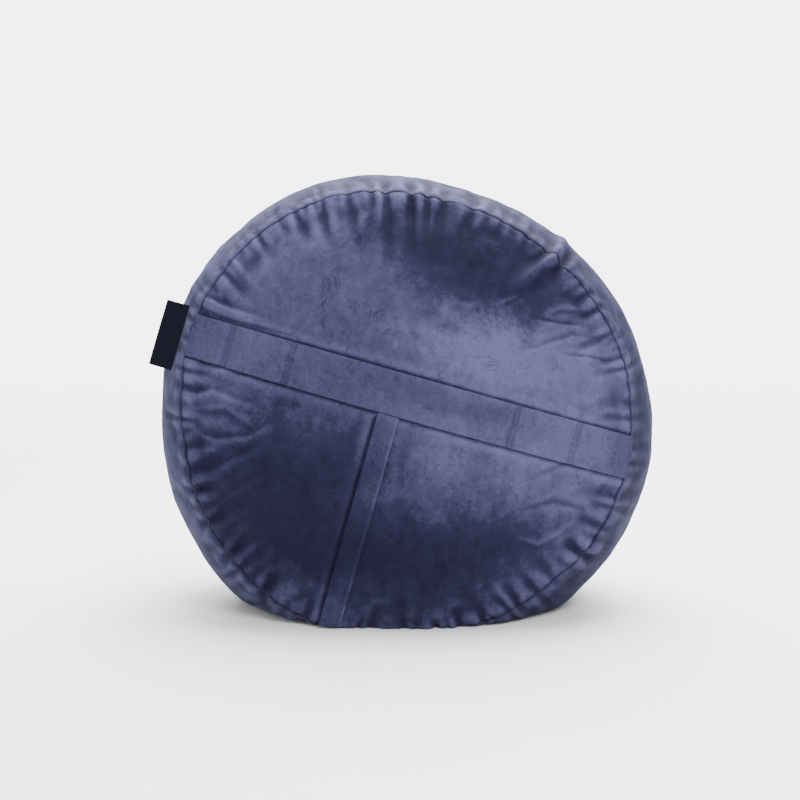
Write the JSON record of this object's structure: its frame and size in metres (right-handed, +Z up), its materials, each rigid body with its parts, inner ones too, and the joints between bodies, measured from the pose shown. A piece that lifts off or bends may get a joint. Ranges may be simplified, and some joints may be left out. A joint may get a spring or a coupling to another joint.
{
  "type": "floor cushion",
  "caption": "Round velour floor cushion filled with shredded foam, standing on its edge, with a carry strap and a zip under a placket.",
  "frame": {"origin": "on the floor, under the middle of the cushion, at the flattened part of the side band that it stands on", "axes": "+Z up, -Y out of the handle side, +X to the right as seen when facing the handle side"},
  "size_m": [0.9138, 0.5964, 0.8349],
  "materials": {
    "velour": "matte",
    "thread": "satin",
    "label": "satin",
    "zip_tape": "matte",
    "zip_coil": "satin",
    "zip_slider": "satin",
    "liner_cloth": "matte",
    "foam": "matte"
  },
  "bodies": {
    "root": {"cover_zip_coil_left": "zip_coil", "cover_zip_coil_right": "zip_coil", "cover_zip_stops": "zip_coil", "cover_zip_tape_left": "zip_tape", "cover_zip_tape_right": "zip_tape", "foam_fill": "foam", "handle_panel_left": "velour", "handle_panel_right": "velour", "handle_panel_upper": "velour", "handle_strap_left": "velour", "handle_strap_right": "velour", "liner_back": "liner_cloth", "liner_band": "liner_cloth", "liner_front": "liner_cloth", "liner_zip_coil_left": "zip_coil", "liner_zip_coil_right": "zip_coil", "liner_zip_stops": "zip_coil", "liner_zip_tape_left": "zip_tape", "liner_zip_tape_right": "zip_tape", "placket_stitching": "thread", "seat_panel": "velour", "side_band": "velour", "strap_stitching": "thread", "zip_placket": "velour"},
    "grip": {"handle_grip": "velour"},
    "cover_slider": {"cover_zip_slider": "zip_slider"},
    "liner_slider": {"liner_zip_slider": "zip_slider"},
    "label": {"side_label": "label"}
  },
  "joints": [
    {"name": "handle_lift", "type": "slide", "parent": "root", "child": "grip", "axis": [0, -0.9974, 0.0714], "range_m": [0, 0.05]},
    {"name": "cover_zip_run", "type": "hinge", "parent": "root", "child": "cover_slider", "pos_m": [0, 0.545, 0.318], "axis": [0.9627, -0.0193, -0.2699], "range_deg": [0, 22.88]},
    {"name": "liner_zip_run", "type": "hinge", "parent": "root", "child": "liner_slider", "pos_m": [0, 0.545, 0.318], "axis": [0.9627, -0.0193, -0.2699], "range_deg": [0, 23.07]},
    {"name": "label_flap", "type": "hinge", "parent": "root", "child": "label", "pos_m": [-0.39386, -0.1704, 0.51665], "axis": [0.276, 0.1131, 0.9545], "range_deg": [-45, 60], "stiffness_Nm_per_rad": 0.02}
  ]
}
